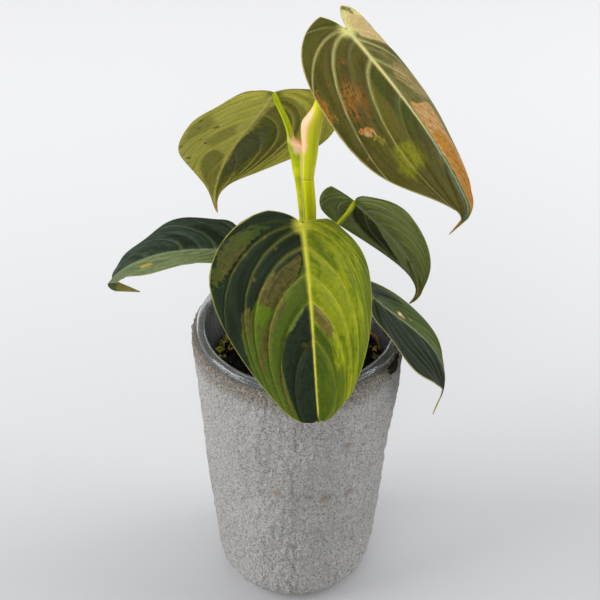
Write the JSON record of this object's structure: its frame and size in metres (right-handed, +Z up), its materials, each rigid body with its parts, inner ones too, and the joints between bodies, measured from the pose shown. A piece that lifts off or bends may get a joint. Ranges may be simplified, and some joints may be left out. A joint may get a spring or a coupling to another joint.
{
  "type": "potted variegated philodendron",
  "caption": "Small climbing aroid with hanging heart-shaped variegated leaves, in a clear nursery cup that hangs in a rough round planter.",
  "frame": {"origin": "middle of the planter's flat underside", "axes": "+Z up, +X to the right in the picture, +Y away from the picture's viewer"},
  "size_m": [0.1749, 0.1347, 0.3428],
  "materials": {
    "planter": "matte",
    "nursery_cup": "gloss",
    "substrate": "matte",
    "stem": "satin",
    "root": "matte",
    "petiole": "satin",
    "bronze_blade": "satin",
    "olive_blade": "satin",
    "grey_green_blade": "satin",
    "dark_blade": "satin",
    "gold_blade": "satin"
  },
  "bodies": {
    "root": {"planter": "planter", "nursery_cup": "nursery_cup", "substrate": "substrate", "stem": "stem", "surface_root": "root", "petiole_top_right": "petiole", "petiole_top_left": "petiole", "petiole_mid_right": "petiole", "petiole_mid_left": "petiole", "petiole_front": "petiole", "petiole_low_right": "petiole", "blade_top_right": "bronze_blade", "blade_top_left": "olive_blade", "blade_mid_right": "grey_green_blade", "blade_mid_left": "dark_blade", "blade_front": "gold_blade", "blade_low_right": "dark_blade"}
  },
  "joints": []
}
